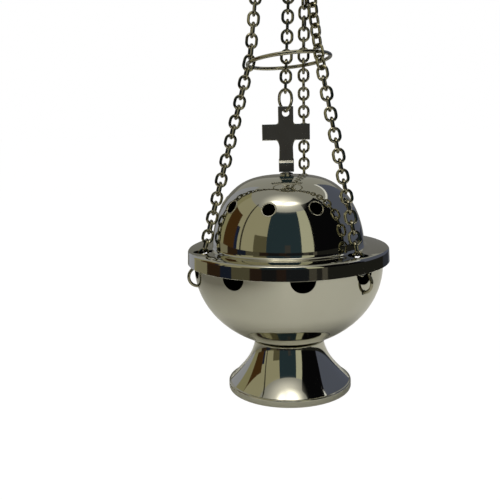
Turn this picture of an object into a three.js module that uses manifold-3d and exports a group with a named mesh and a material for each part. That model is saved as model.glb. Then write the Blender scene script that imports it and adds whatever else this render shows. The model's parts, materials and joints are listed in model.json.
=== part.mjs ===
// A hanging incense burner: a footed bowl with round vents under its rim, a domed lid that slides
// up three chains, a flat cross on the lid, a spacer ring that keeps the chains apart, and a fourth
// chain that lifts the lid. Millimetres, +Z up, origin at the middle of the foot's base.
// Azimuths are degrees from the front (-Y), positive towards +X.

import * as THREE from 'three';
import { mergeVertices } from 'three/addons/utils/BufferGeometryUtils.js';
import Module from 'manifold-3d';

const wasm = await Module();
wasm.setup();

// Driving sizes, all in millimetres
const SHEET = 1.2;
const GAP = 0.3;

const FOOT_RADIUS = 34.7;
const FOOT_BAND = 4.6;
const FOOT_HEIGHT = 28.2;
const NECK_RADIUS = 19.3;

const BOWL_CLEARANCE = 1.7;
const BOWL_DEPTH = 44.5;
const BOWL_COLLAR = 8.5;
const BOWL_FLAT = 8;

const SKIRT_RADIUS = 55;
const SKIRT_HEIGHT = 7.6;
const SKIRT_FLARE = 0.6;
const DOME_CLEARANCE = 0.642;
const DOME_HEIGHT = 38.9;
const DOME_FILLET = 3.2;
const DOME_FLAT = 5;

const VENT_COUNT = 9;
const VENT_WIDTH = 12.8;
const VENT_DROP = 6.4;
const VENT_PHASE = 8;
const DOME_VENT_BORE = 6.6;
const DOME_VENT_PHASE = -15.2;
const DOME_VENT_DROP = 14.6;
const DOME_VENT_PITCH = 20;

const CHAIN_PHASE = 48;
const CHAIN_COUNT = 3;
const CHAIN_BORE = 10.4;
const CHAIN_WIRE = 1.57;
const LINK_WIDTH = 6.8;
const LINK_SEAT = 0.1;

const JUMP_WIRE = 1.7;
const JUMP_DIAMETER = 12;
const JUMP_SET = 0.4;
const JUMP_HOLE = 2.8;
const JUMP_HOLE_DROP = 10.4;
const HOOK_GAP = 0.15;

const SPACER_WIRE = 2;
const SPACER_DIAMETER = 45.6;
const SPACER_HEIGHT = 178.4;
const SPACER_TILT = 6.5;
const SPACER_SLACK = 0.42;
const SPACER_SHIFT_X = 2.1;
const SPACER_SHIFT_Y = 1.5;
const SPACER_TURNS = [-5, -10, 2];
const CHAIN_TWISTS = [45, 0, 0];
const TWIST_RAMP = 3;
const LOWER_LINKS = 9;
const LINK_PITCH = 5.2;

const CROSS_WIDTH = 25.4;
const CROSS_STEM = 8.1;
const CROSS_ARM = 8.5;
const CROSS_ARM_DROP = 9.2;
const CROSS_HEIGHT = 34.4;
const CROSS_PLATE = 2.8;
const CROSS_CORNER = 1.6;
const CROSS_FOOT_BLOCK = 4.6;
const CROSS_FOOT_DEPTH = 5;
const CROSS_EYE = 3.8;
const CROSS_EYE_DROP = 3.4;

const STUD_RADIUS = 2.3;
const STUD_THREAD = 2;
const COLLAR_RADIUS = 3.5;
const COLLAR_HEIGHT = 0.8;
const STUD_NECK = 0.5;
const STUD_TAIL = 6.4;

const BAIL_WIRE = 1.6;
const BAIL_WIDTH = 8.2;
const BAIL_RISE = 11.3;

const CAP_RADIUS = 18.3;
const CAP_RISE = 2.2;
const CAP_FLAT = 8.4;
const CAP_STEP = 1.4;
const CAP_TURN = 0.7;
const CAP_HEIGHT = 222.2;
const CAP_BORE = 11;
const CAP_HOLE = 3;
const CAP_RIM_INSET = 1.7;
const CAP_RING_DROP = 1.4;
const CAP_RING_WIRE = 1.5;
const CAP_RING_DIAMETER = 8.9;
const CAP_SHIFT_X = 3.2;
const CAP_SHIFT_Y = 0.6;
const CAP_SPIN = -17;

const PULL_RING_DIAMETER = 14;
const PULL_RING_WIRE = 1.8;
const HANG_RING_DIAMETER = 26;
const HANG_RING_WIRE = 2.4;
const HANG_EYE_SET = 13.2;
const HANG_EYE_WIRE = 2;
const HANG_EYE_DIAMETER = 7;
const RIVET_RADIUS = 2;
const RIVET_HEAD = 1;

const CUP_RADIUS = 30;
const CUP_BASE = 18;
const CUP_HEIGHT = 14;
const CUP_WALL = 1;
const CUP_LIFT = 0.4;

const SCREW_RADIUS = 2;
const SCREW_HEAD_RADIUS = 3.6;
const SCREW_HEAD = 2;
const NUT_WIDTH = 7;
const NUT_HEIGHT = 3.2;
const WASHER_RADIUS = 5;
const WASHER = 0.8;

// How finely round things are cut
const TURNED_STEPS = 32;
const SMALL_STEPS = 16;
const WIRE_SIDES = 6;

// Widths and heights that follow from the sizes above. The bowl fits inside the lid's skirt, and
// the dome and the chains' bores follow the line from the jump rings to the spacer ring.
const skirtInside = SKIRT_RADIUS - SHEET - SKIRT_FLARE;
const bowlRadius = skirtInside - BOWL_CLEARANCE;
const neckSeat = NECK_RADIUS - SHEET / 2;
const bowlSeatDip = Math.sqrt(1 - (neckSeat / bowlRadius) ** 2);
const bowlCentre = FOOT_HEIGHT + GAP + BOWL_DEPTH * bowlSeatDip;
const bowlBase = bowlCentre - BOWL_DEPTH * Math.sqrt(1 - (BOWL_FLAT / bowlRadius) ** 2);
const bowlRim = bowlCentre + BOWL_COLLAR;
const webTop = bowlBase - GAP;
const webBase = webTop - SHEET;
const flangeBase = bowlRim + GAP;
const flangeTop = flangeBase + SHEET;
const skirtBase = flangeTop - SKIRT_HEIGHT;
const domeTop = flangeTop + DOME_HEIGHT;
const ventCentre = bowlRim - VENT_DROP;
const domeVentHeight = domeTop - DOME_VENT_DROP;
const jumpRadius = (JUMP_DIAMETER - JUMP_WIRE) / 2;
const jumpHoleHeight = ventCentre - JUMP_HOLE_DROP;
const jumpHeight = jumpHoleHeight + jumpRadius;
const wallAtJump = bowlRadius * Math.sqrt(1 - ((bowlCentre - jumpHoleHeight) / BOWL_DEPTH) ** 2);
const jumpReach = wallAtJump - SHEET / 2 + JUMP_SET;
const spacerRadius = (SPACER_DIAMETER - SPACER_WIRE) / 2;
const chainSlope = (jumpReach - spacerRadius) / (SPACER_HEIGHT - jumpHeight);
const chainReachAt = (height) => jumpReach - chainSlope * (height - jumpHeight);
const chainBoreReach = chainReachAt(flangeBase);
const domeRadius = chainReachAt(flangeTop + DOME_HEIGHT / 2) - DOME_CLEARANCE;
const crossBase = domeTop + GAP + COLLAR_HEIGHT + STUD_NECK;
const crossTop = crossBase + CROSS_HEIGHT;
const crossEyeHeight = crossTop - CROSS_EYE_DROP;
const bailBase = crossEyeHeight + (CROSS_EYE - BAIL_WIRE) / 2 - 0.2;
const bailTop = bailBase + BAIL_RISE;
const capTop = CAP_HEIGHT + CAP_RISE + SHEET / 2;

const chainAzimuths = [];
for (let i = 0; i < CHAIN_COUNT; i += 1) {
  chainAzimuths.push(CHAIN_PHASE + (360 * i) / CHAIN_COUNT);
}

const nickel = (color, roughness) => new THREE.MeshStandardMaterial({ color, roughness, metalness: 1 });
const POLISHED = nickel('#bdb8a8', 0.08);
const CHAIN_NICKEL = nickel('#a8a28c', 0.22);
const BRIGHT = nickel('#c4c1b6', 0.14);
const STEEL = nickel('#9fa1a3', 0.32);
const SPUN_BRASS = nickel('#b59a5c', 0.3);

const burner = new THREE.Group();
const radians = THREE.MathUtils.degToRad;

// A closed mesh as a solid that can be joined and cut
function solid(geometry) {
  const shape = geometry.index ? geometry.clone() : mergeVertices(geometry);
  shape.deleteAttribute('normal');
  shape.deleteAttribute('uv');
  const welded = mergeVertices(shape, 1e-4);
  const mesh = new wasm.Mesh({
    numProp: 3,
    vertProperties: new Float32Array(welded.attributes.position.array),
    triVerts: new Uint32Array(welded.index.array),
  });
  mesh.merge();
  return new wasm.Manifold(mesh);
}

function geometryOf(body) {
  const mesh = body.getMesh();
  const geometry = new THREE.BufferGeometry();
  geometry.setAttribute('position', new THREE.BufferAttribute(mesh.vertProperties, 3));
  geometry.setIndex(new THREE.BufferAttribute(mesh.triVerts, 1));
  geometry.computeVertexNormals();
  return geometry;
}

function add(name, body, material) {
  const mesh = new THREE.Mesh(geometryOf(body), material);
  mesh.name = name;
  burner.add(mesh);
  return mesh;
}

const union = (bodies) => bodies.reduce((whole, body) => whole.add(body));
const without = (body, cutters) => cutters.reduce((rest, cutter) => rest.subtract(cutter), body);

// A turned piece from its half outline, given as [radius, height] pairs that close on themselves
function turned(outline, steps = TURNED_STEPS) {
  const points = outline.map(([r, z]) => new THREE.Vector2(r, z));
  points.push(points[0].clone());
  const geometry = new THREE.LatheGeometry(points, steps);
  geometry.rotateX(Math.PI / 2);
  return solid(geometry);
}

// A round bar from height low to height high on the axis
function bar(radius, low, high, steps = SMALL_STEPS) {
  const geometry = new THREE.CylinderGeometry(radius, radius, high - low, steps);
  geometry.rotateX(Math.PI / 2);
  geometry.translate(0, 0, (low + high) / 2);
  return geometry;
}

// A round cutter that points out from the axis at an azimuth
function radialCutter(radius, azimuth, height, from, to, steps = SMALL_STEPS, pitch = 0) {
  const geometry = new THREE.CylinderGeometry(radius, radius, to - from, steps);
  geometry.translate(0, -(from + to) / 2, 0);
  geometry.rotateX(-pitch);
  geometry.translate(0, 0, height);
  geometry.rotateZ(radians(azimuth));
  return geometry;
}

// A point at a distance from the axis, an azimuth and a height
function place(reach, azimuth, height) {
  const angle = radians(azimuth);
  return new THREE.Vector3(reach * Math.sin(angle), -reach * Math.cos(angle), height);
}

const outward = (azimuth) => place(1, azimuth, 0);
const sideways = (azimuth) => new THREE.Vector3(0, 0, 1).cross(outward(azimuth));

// A wire ring round a centre, square to its axis direction
function wireRing(diameter, wire, centre, axis, steps) {
  const geometry = new THREE.TorusGeometry((diameter - wire) / 2, wire / 2, WIRE_SIDES, steps);
  const upright = Math.abs(axis.z) < 0.5 ? new THREE.Vector3(0, 0, 1) : new THREE.Vector3(0, 1, 0);
  const across = upright.cross(axis).normalize();
  const frame = new THREE.Matrix4().makeBasis(across, axis.clone().cross(across), axis);
  frame.setPosition(centre);
  geometry.applyMatrix4(frame);
  return solid(geometry);
}

// One oval chain link: a wire torus whose two halves are drawn apart along the link
function link(centre, along, normal, length, width = LINK_WIDTH, wire = CHAIN_WIRE) {
  const steps = 8;
  const sides = 4;
  const geometry = new THREE.TorusGeometry((width - wire) / 2, wire / 2, sides, steps);
  const flats = 1 / Math.cos(Math.PI / steps);
  geometry.rotateZ(Math.PI / steps);
  geometry.scale(flats, flats, 1);
  const stretch = (length - width) / 2;
  const points = geometry.attributes.position;
  for (let i = 0; i < points.count; i += 1) {
    points.setY(i, points.getY(i) + Math.sign(points.getY(i)) * stretch);
  }
  const across = along.clone().cross(normal).normalize();
  const frame = new THREE.Matrix4().makeBasis(across, along.clone().normalize(), normal.clone().normalize());
  frame.setPosition(centre);
  geometry.applyMatrix4(frame);
  return solid(geometry);
}

// A run of links on a straight line, each a quarter turn from the one before. A chain that hangs
// twisted has each link turned on by the angle that twistAt gives for it.
function chainRun(start, along, pitch, count, flatFirst, side, twistAt = () => 0) {
  const length = pitch + 2 * CHAIN_WIRE - LINK_SEAT;
  const face = side.clone().cross(along).normalize();
  const links = [];
  for (let i = 0; i < count; i += 1) {
    const centre = start.clone().addScaledVector(along, i * pitch);
    const flat = (i % 2 === 0) === flatFirst ? face : side;
    const normal = flat.clone().applyAxisAngle(along, radians(twistAt(i)));
    links.push(link(centre, along, normal, length));
  }
  return union(links);
}

// The whole number of links, odd or even, that fills a length at the usual pitch
function linkCount(length, odd) {
  const rest = odd ? 1 : 0;
  return 2 * Math.max(0, Math.round((length / LINK_PITCH - rest) / 2)) + rest;
}

// The foot: a flared stand, open below, with a web near its top that the bowl is screwed to
function foot() {
  const flare = new THREE.QuadraticBezierCurve(
    new THREE.Vector2(FOOT_RADIUS - 1.8, FOOT_BAND),
    new THREE.Vector2(NECK_RADIUS + 0.1, FOOT_HEIGHT * 0.57),
    new THREE.Vector2(NECK_RADIUS, FOOT_HEIGHT - 1.2),
  );
  const outside = flare.getPoints(6).map((point) => [point.x, point.y]);
  const inside = outside.slice(0, -2).map(([r, z]) => [r - SHEET, z]).reverse();
  const outline = [
    [FOOT_RADIUS - 2 * SHEET, 0],
    [FOOT_RADIUS - 0.4, 0],
    [FOOT_RADIUS, 0.6],
    [FOOT_RADIUS - 0.3, FOOT_BAND - 0.5],
    ...outside,
    [NECK_RADIUS + 0.35, FOOT_HEIGHT - 0.7],
    [NECK_RADIUS, FOOT_HEIGHT],
    [NECK_RADIUS - SHEET, FOOT_HEIGHT],
    [NECK_RADIUS - SHEET, webTop],
    [SCREW_RADIUS + GAP, webTop],
    [SCREW_RADIUS + GAP, webBase],
    [NECK_RADIUS - SHEET, webBase],
    ...inside,
  ];
  return turned(outline);
}

// The bowl's half outline: a flattened half ellipse under a short straight collar
function bowlWall(inset) {
  const radius = bowlRadius - inset;
  const depth = BOWL_DEPTH - inset;
  const start = Math.asin(BOWL_FLAT / radius);
  const steps = 7;
  const wall = [];
  for (let i = 0; i <= steps; i += 1) {
    const angle = start + ((Math.PI / 2 - start) * i) / steps;
    wall.push([radius * Math.sin(angle), bowlCentre - depth * Math.cos(angle)]);
  }
  return wall;
}

// A vent is a round-bottomed notch, open at the rim, that the lid's skirt half covers
function ventCutter(azimuth) {
  const round = radialCutter(VENT_WIDTH / 2, azimuth, ventCentre, bowlRadius / 2, SKIRT_RADIUS, 16);
  const open = new THREE.BoxGeometry(VENT_WIDTH, bowlRadius / 2, VENT_DROP * 2);
  open.translate(0, -bowlRadius, ventCentre + VENT_DROP);
  open.rotateZ(radians(azimuth));
  return solid(round).add(solid(open));
}

function bowl() {
  const hole = SCREW_RADIUS + GAP;
  const outside = bowlWall(0);
  const inside = bowlWall(SHEET).reverse();
  const outline = [
    [hole, bowlBase],
    ...outside,
    [bowlRadius, bowlRim - 0.3],
    [bowlRadius - 0.3, bowlRim],
    [bowlRadius - SHEET, bowlRim],
    ...inside,
    [hole, inside[inside.length - 1][1]],
  ];
  const cutters = [];
  for (let i = 0; i < VENT_COUNT; i += 1) {
    cutters.push(ventCutter(VENT_PHASE + (360 * i) / VENT_COUNT));
  }
  for (const azimuth of chainAzimuths) {
    cutters.push(solid(radialCutter(JUMP_HOLE / 2, azimuth, jumpHoleHeight, bowlRadius / 2, SKIRT_RADIUS, 12)));
  }
  return without(turned(outline), cutters);
}

// The dome's radius at a share of its height: a full shoulder that closes to a shallow crown
const domeBase = flangeTop + DOME_FILLET / 2;
const domeRadiusAt = (share) => domeRadius * (1 - share ** 1.7) ** (1 / 3.2);

// The dome's outline from its foot to its flat top, set in by the sheet for the inside
function domeWall(inset) {
  const rise = domeTop - domeBase;
  const steps = 8;
  const wall = [];
  for (let i = 0; i <= steps; i += 1) {
    const share = Math.sin((Math.PI / 2) * (i / steps) ** 0.9);
    const r = domeRadiusAt(share);
    if (r > DOME_FLAT) {
      wall.push([r - inset * (1 - share ** 3), domeBase + rise * share - inset * share ** 2]);
    }
  }
  wall.push([DOME_FLAT, domeTop - inset]);
  return wall;
}

// The lid: skirt, flat flange, fillet and dome from one sheet, with its vents and chain holes
function lid() {
  const hole = STUD_THREAD + GAP;
  const outside = domeWall(0);
  const inside = domeWall(SHEET).reverse();
  const outline = [
    [hole, domeTop - SHEET],
    ...inside,
    [domeRadius - SHEET, flangeBase],
    [skirtInside, flangeBase],
    [SKIRT_RADIUS - SHEET, skirtBase],
    [SKIRT_RADIUS, skirtBase],
    [SKIRT_RADIUS - SKIRT_FLARE, flangeTop - 0.7],
    [SKIRT_RADIUS - SKIRT_FLARE - 0.7, flangeTop],
    [domeRadius + DOME_FILLET, flangeTop],
    [domeRadius + DOME_FILLET * 0.3, flangeTop + DOME_FILLET * 0.3],
    ...outside,
    [hole, domeTop],
  ];
  const cutters = [];
  for (const azimuth of chainAzimuths) {
    const bore = bar(CHAIN_BORE / 2, flangeBase - SHEET, flangeTop + DOME_FILLET, 20);
    const spot = place(chainBoreReach, azimuth, 0);
    bore.translate(spot.x, spot.y, 0);
    cutters.push(solid(bore));
  }
  const pitch = radians(DOME_VENT_PITCH);
  const reach = domeRadiusAt((domeVentHeight - domeBase) / (domeTop - domeBase));
  const root = domeVentHeight - reach * Math.tan(pitch);
  for (let i = 0; i < VENT_COUNT; i += 1) {
    const azimuth = DOME_VENT_PHASE + (360 * i) / VENT_COUNT;
    cutters.push(solid(radialCutter(DOME_VENT_BORE / 2, azimuth, root, reach / 2, 2 * reach, 12, pitch)));
  }
  return without(turned(outline), cutters);
}

// The shallow dish that holds the charcoal, standing loose in the bowl
function cup() {
  const wallDepth = BOWL_DEPTH - SHEET;
  const seat = bowlCentre - wallDepth * Math.sqrt(1 - (CUP_BASE / (bowlRadius - SHEET)) ** 2);
  const base = seat + CUP_LIFT;
  const top = base + CUP_HEIGHT;
  const outline = [
    [0, base],
    [CUP_BASE, base],
    [CUP_BASE + 5, base + 2.6],
    [CUP_RADIUS - 3, top - 4],
    [CUP_RADIUS, top - 1],
    [CUP_RADIUS, top],
    [CUP_RADIUS - 1.6, top],
    [CUP_RADIUS - 4, top - 4],
    [CUP_BASE + 4.4, base + 2.6 + CUP_WALL],
    [CUP_BASE - 0.6, base + CUP_WALL],
    [0, base + CUP_WALL],
  ];
  return turned(outline, 24);
}

// The screw through bowl and foot, with its washer and nut under the web
function screw(headSeat, tail, headRadius, shank) {
  const outline = [
    [0, tail],
    [shank, tail],
    [shank, headSeat],
    [headRadius, headSeat],
    [headRadius, headSeat + SCREW_HEAD * 0.6],
    [headRadius * 0.6, headSeat + SCREW_HEAD],
    [0, headSeat + SCREW_HEAD],
  ];
  return turned(outline, SMALL_STEPS);
}

function washer(hole, top) {
  const outline = [
    [hole, top - WASHER],
    [WASHER_RADIUS, top - WASHER],
    [WASHER_RADIUS, top],
    [hole, top],
  ];
  return turned(outline, SMALL_STEPS);
}

function nut(hole, top) {
  const block = new THREE.CylinderGeometry(NUT_WIDTH / Math.sqrt(3), NUT_WIDTH / Math.sqrt(3), NUT_HEIGHT, 6);
  block.rotateX(Math.PI / 2);
  block.translate(0, 0, top - NUT_HEIGHT / 2);
  return solid(block).subtract(solid(bar(hole, top - NUT_HEIGHT - 1, top + 1)));
}

// The cross: a flat plate with filleted inner corners, an eye in its head and a bevelled foot block
function cross() {
  const arm = CROSS_WIDTH / 2;
  const stem = CROSS_STEM / 2;
  const armTop = CROSS_HEIGHT - CROSS_ARM_DROP;
  const armBase = armTop - CROSS_ARM;
  const corner = CROSS_CORNER;
  const shape = new THREE.Shape();
  shape.moveTo(-stem, 0);
  shape.lineTo(stem, 0);
  shape.lineTo(stem - 0.4, armBase - corner - 2);
  shape.quadraticCurveTo(stem, armBase, stem + corner, armBase);
  shape.lineTo(arm, armBase);
  shape.lineTo(arm, armTop);
  shape.lineTo(stem + corner, armTop);
  shape.quadraticCurveTo(stem, armTop, stem, armTop + corner);
  shape.lineTo(stem, CROSS_HEIGHT);
  shape.lineTo(-stem, CROSS_HEIGHT);
  shape.lineTo(-stem, armTop + corner);
  shape.quadraticCurveTo(-stem, armTop, -stem - corner, armTop);
  shape.lineTo(-arm, armTop);
  shape.lineTo(-arm, armBase);
  shape.lineTo(-stem - corner, armBase);
  shape.quadraticCurveTo(-stem, armBase, -stem + 0.4, armBase - corner - 2);
  shape.closePath();
  const eye = new THREE.Path();
  eye.absarc(0, CROSS_HEIGHT - CROSS_EYE_DROP, CROSS_EYE / 2, 0, Math.PI * 2, true);
  shape.holes.push(eye);
  const plate = new THREE.ExtrudeGeometry(shape, { depth: CROSS_PLATE, bevelEnabled: false, curveSegments: 5 });
  plate.rotateX(Math.PI / 2);
  plate.translate(0, CROSS_PLATE / 2, crossBase);
  const side = new THREE.Shape();
  const deep = CROSS_FOOT_DEPTH / 2;
  side.moveTo(-deep, 0);
  side.lineTo(deep, 0);
  side.lineTo(deep, CROSS_FOOT_BLOCK);
  side.lineTo(CROSS_PLATE / 4, CROSS_FOOT_BLOCK + 2.4);
  side.lineTo(-CROSS_PLATE / 4, CROSS_FOOT_BLOCK + 2.4);
  side.lineTo(-deep, CROSS_FOOT_BLOCK);
  side.closePath();
  const block = new THREE.ExtrudeGeometry(side, { depth: CROSS_STEM, bevelEnabled: false });
  block.rotateX(Math.PI / 2);
  block.rotateZ(Math.PI / 2);
  block.translate(-CROSS_STEM / 2, 0, crossBase);
  return solid(plate).add(solid(block));
}

// The stud under the cross: neck and collar outside the dome, thread inside it
function stud() {
  const collarBase = domeTop + GAP;
  const outline = [
    [0, collarBase - STUD_TAIL],
    [STUD_THREAD, collarBase - STUD_TAIL],
    [STUD_THREAD, collarBase],
    [COLLAR_RADIUS, collarBase],
    [COLLAR_RADIUS, collarBase + COLLAR_HEIGHT * 0.7],
    [STUD_RADIUS + 0.4, collarBase + COLLAR_HEIGHT],
    [STUD_RADIUS, collarBase + COLLAR_HEIGHT + (STUD_NECK - GAP) / 2],
    [STUD_RADIUS, crossBase - GAP],
    [0, crossBase - GAP],
  ];
  return turned(outline, SMALL_STEPS);
}

// A closed wire that follows a closed curve
function closedWire(curve, wire, sides, steps) {
  const geometry = new THREE.TorusGeometry(1, wire / 2, sides, steps);
  const frames = curve.computeFrenetFrames(steps, true);
  const points = geometry.attributes.position;
  for (let j = 0; j <= sides; j += 1) {
    const turn = (2 * Math.PI * j) / sides;
    for (let i = 0; i <= steps; i += 1) {
      const at = i % steps;
      const point = curve.getPointAt(at / steps);
      point.addScaledVector(frames.normals[at], (wire / 2) * Math.cos(turn));
      point.addScaledVector(frames.binormals[at], (-wire / 2) * Math.sin(turn));
      points.setXYZ(j * (steps + 1) + i, point.x, point.y, point.z);
    }
  }
  return solid(geometry);
}

// The bail: a long wire loop that threads the cross's eye front to back and turns flat above it
function bail() {
  const side = (BAIL_WIDTH - BAIL_WIRE) / 2;
  const clear = (CROSS_PLATE + BAIL_WIRE) / 2 + GAP;
  const front = [
    new THREE.Vector3(0, 0, bailBase),
    new THREE.Vector3(side * 0.24, -clear, bailBase + BAIL_RISE * 0.04),
    new THREE.Vector3(side * 0.8, -clear, bailBase + BAIL_RISE * 0.28),
    new THREE.Vector3(side, -clear * 0.4, bailBase + BAIL_RISE * 0.55),
    new THREE.Vector3(side * 0.8, 0, bailBase + BAIL_RISE * 0.84),
    new THREE.Vector3(0, 0, bailTop),
  ];
  const back = front.slice(1, -1).reverse().map((point) => new THREE.Vector3(-point.x, -point.y, point.z));
  return closedWire(new THREE.CatmullRomCurve3([...front, ...back], true), BAIL_WIRE, WIRE_SIDES, 20);
}

// The points that the chains join, by the chain's number from 0. The spacer ring hangs a little off
// the axis and tilted up towards the first chain, and each chain has slid along it by its own turn.
const spacerCentre = new THREE.Vector3(SPACER_SHIFT_X, SPACER_SHIFT_Y, SPACER_HEIGHT);
const spacerAzimuths = chainAzimuths.map((azimuth, index) => azimuth + SPACER_TURNS[index]);
const jumpPoint = (index) => place(jumpReach, chainAzimuths[index], jumpHeight);

function spacerPoint(index) {
  const azimuth = spacerAzimuths[index];
  const lean = Math.tan(radians(SPACER_TILT)) * Math.cos(radians(azimuth - spacerAzimuths[0]));
  const spoke = outward(azimuth).setZ(lean).normalize().multiplyScalar(spacerRadius);
  return spoke.add(spacerCentre);
}

// A chain leans in its own upright plane, which is square to this level direction
function chainSide(index) {
  const run = jumpPoint(index).sub(spacerPoint(index)).setZ(0).normalize();
  return new THREE.Vector3(0, 0, 1).cross(run);
}

const capRingRadius = (CAP_RING_DIAMETER - CAP_RING_WIRE) / 2;
const capRingReach = CAP_RADIUS - CAP_RIM_INSET;
const capRingHeight = CAP_HEIGHT - CAP_RING_DROP;
const capHoleReach = capRingReach - Math.sqrt(capRingRadius ** 2 - CAP_RING_DROP ** 2);
const capAzimuths = chainAzimuths.map((azimuth) => azimuth + CAP_SPIN);
const capCentre = new THREE.Vector3(CAP_SHIFT_X, CAP_SHIFT_Y, 0);
const capRingPoint = (index) => place(capRingReach, capAzimuths[index], capRingHeight).add(capCentre);

// One suspension chain in three stretches. The lower one swings on the jump ring, the upper one
// on the lower one's last link, and the top one starts with the longer link that the spacer
// ring passes through.
function suspension(index) {
  const eye = jumpPoint(index);
  const spacer = spacerPoint(index);
  const side = chainSide(index);
  const rise = spacer.clone().sub(eye);
  const reach = rise.length();
  const along = rise.normalize();
  const hook = jumpRadius - (JUMP_WIRE + CHAIN_WIRE) / 2 - HOOK_GAP;
  const lastWire = reach - SPACER_WIRE / 2 - SPACER_SLACK - CHAIN_WIRE / 2;
  const span = lastWire - hook - CHAIN_WIRE + 2 * LINK_SEAT + HOOK_GAP;
  const upperLinks = linkCount(span - LOWER_LINKS * LINK_PITCH, false);
  const pitch = span / (LOWER_LINKS + upperLinks);
  const half = (pitch + CHAIN_WIRE - LINK_SEAT) / 2;
  const last = LOWER_LINKS + upperLinks - 1;
  const twistAt = (i) => (CHAIN_TWISTS[index] * Math.min(i, last - i, TWIST_RAMP)) / TWIST_RAMP;
  const firstLower = eye.clone().addScaledVector(along, hook + half);
  const firstUpper = hook + half + LOWER_LINKS * pitch - LINK_SEAT - HOOK_GAP;
  const lower = chainRun(firstLower, along, pitch, LOWER_LINKS, true, side, twistAt);
  const upperStart = eye.clone().addScaledVector(along, firstUpper);
  const upperTwist = (i) => twistAt(i + LOWER_LINKS);
  const upper = chainRun(upperStart, along, pitch, upperLinks, false, side, upperTwist);

  const inner = 2 * CHAIN_WIRE + 2 * SPACER_SLACK + SPACER_WIRE + HOOK_GAP - LINK_SEAT;
  const longLink = inner + 2 * CHAIN_WIRE;
  const innerBase = lastWire - CHAIN_WIRE / 2 - SPACER_SLACK;
  const middle = eye.clone().addScaledVector(along, innerBase + inner / 2);
  const threaded = link(middle, along, side, longLink);
  const start = spacer.clone().addScaledVector(along, (SPACER_WIRE + CHAIN_WIRE) / 2 + HOOK_GAP);
  const capHook = capRingPoint(index).sub(start);
  const topReach = capHook.length() - capRingRadius + (CAP_RING_WIRE + CHAIN_WIRE) / 2 + HOOK_GAP;
  const topAlong = capHook.normalize();
  const topLinks = linkCount(topReach, true);
  const topPitch = (topReach - CHAIN_WIRE + LINK_SEAT) / topLinks;
  const topHalf = (topPitch + CHAIN_WIRE - LINK_SEAT) / 2;
  const first = start.clone().addScaledVector(topAlong, topHalf);
  const topSide = sideways(capAzimuths[index]);
  const turn = side.angleTo(topSide) * Math.sign(topSide.clone().cross(side).z);
  const topTwist = (i) => THREE.MathUtils.radToDeg(turn) * (1 - i / topLinks);
  const top = threaded.add(chainRun(first, topAlong, topPitch, topLinks, true, topSide, topTwist));
  return { lower, upper, top };
}

function spacerRing() {
  const level = new THREE.Vector3(0, 0, 1);
  const lean = level.applyAxisAngle(sideways(spacerAzimuths[0]), -radians(SPACER_TILT));
  return wireRing(SPACER_DIAMETER, SPACER_WIRE, spacerCentre, lean, 28);
}

// The hand cap: a shallow turned cap with a bore for the lid chain and holes for its wire rings
function handCap() {
  const outline = [
    [CAP_BORE / 2, capTop - SHEET],
    [CAP_FLAT - CAP_TURN, capTop - SHEET],
    [CAP_FLAT - CAP_TURN + CAP_STEP, CAP_HEIGHT - SHEET / 2],
    [CAP_RADIUS - 0.4, CAP_HEIGHT - SHEET / 2],
    [CAP_RADIUS, CAP_HEIGHT],
    [CAP_RADIUS - 0.4, CAP_HEIGHT + SHEET / 2],
    [CAP_FLAT + CAP_STEP, CAP_HEIGHT + SHEET / 2],
    [CAP_FLAT, capTop],
    [CAP_BORE / 2, capTop],
  ];
  const drill = (radius, x, y) => {
    const cutter = bar(radius, CAP_HEIGHT - 2 * SHEET, capTop + SHEET, 12);
    cutter.translate(x, y, 0);
    return solid(cutter);
  };
  const cutters = capAzimuths.map((azimuth) => {
    const spot = place(capHoleReach, azimuth, 0);
    return drill(CAP_HOLE / 2, spot.x, spot.y);
  });
  cutters.push(drill(HANG_EYE_WIRE / 2 + GAP, HANG_EYE_SET, 0));
  return without(turned(outline, 28), cutters).translate(capCentre.toArray());
}

// The riveted eye on the cap that the hanging ring swings in
const capRimTop = CAP_HEIGHT + SHEET / 2;
const hangEyeHeight = capRimTop + HANG_EYE_DIAMETER / 2 + GAP;
const hangEyeX = CAP_SHIFT_X + HANG_EYE_SET;
function hangEye() {
  const ringCentre = new THREE.Vector3(hangEyeX, CAP_SHIFT_Y, hangEyeHeight);
  const loop = wireRing(HANG_EYE_DIAMETER, HANG_EYE_WIRE, ringCentre, new THREE.Vector3(0, 1, 0), 14);
  const shankTop = hangEyeHeight - HANG_EYE_DIAMETER / 2 + HANG_EYE_WIRE * 0.8;
  const headTop = capRimTop - SHEET - GAP;
  const shank = bar(HANG_EYE_WIRE / 2, headTop - RIVET_HEAD / 2, shankTop, 10);
  shank.translate(hangEyeX, CAP_SHIFT_Y, 0);
  const head = bar(RIVET_RADIUS, headTop - RIVET_HEAD, headTop, 12);
  head.translate(hangEyeX, CAP_SHIFT_Y, 0);
  return union([loop, solid(shank), solid(head)]);
}

function hangRing() {
  const eyeRadius = (HANG_EYE_DIAMETER - HANG_EYE_WIRE) / 2;
  const hook = hangEyeHeight + eyeRadius - (HANG_EYE_WIRE + HANG_RING_WIRE) / 2 - HOOK_GAP;
  const height = hook + (HANG_RING_DIAMETER - HANG_RING_WIRE) / 2;
  const centre = new THREE.Vector3(hangEyeX, CAP_SHIFT_Y, height);
  return wireRing(HANG_RING_DIAMETER, HANG_RING_WIRE, centre, new THREE.Vector3(1, 0, 0), 20);
}

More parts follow.
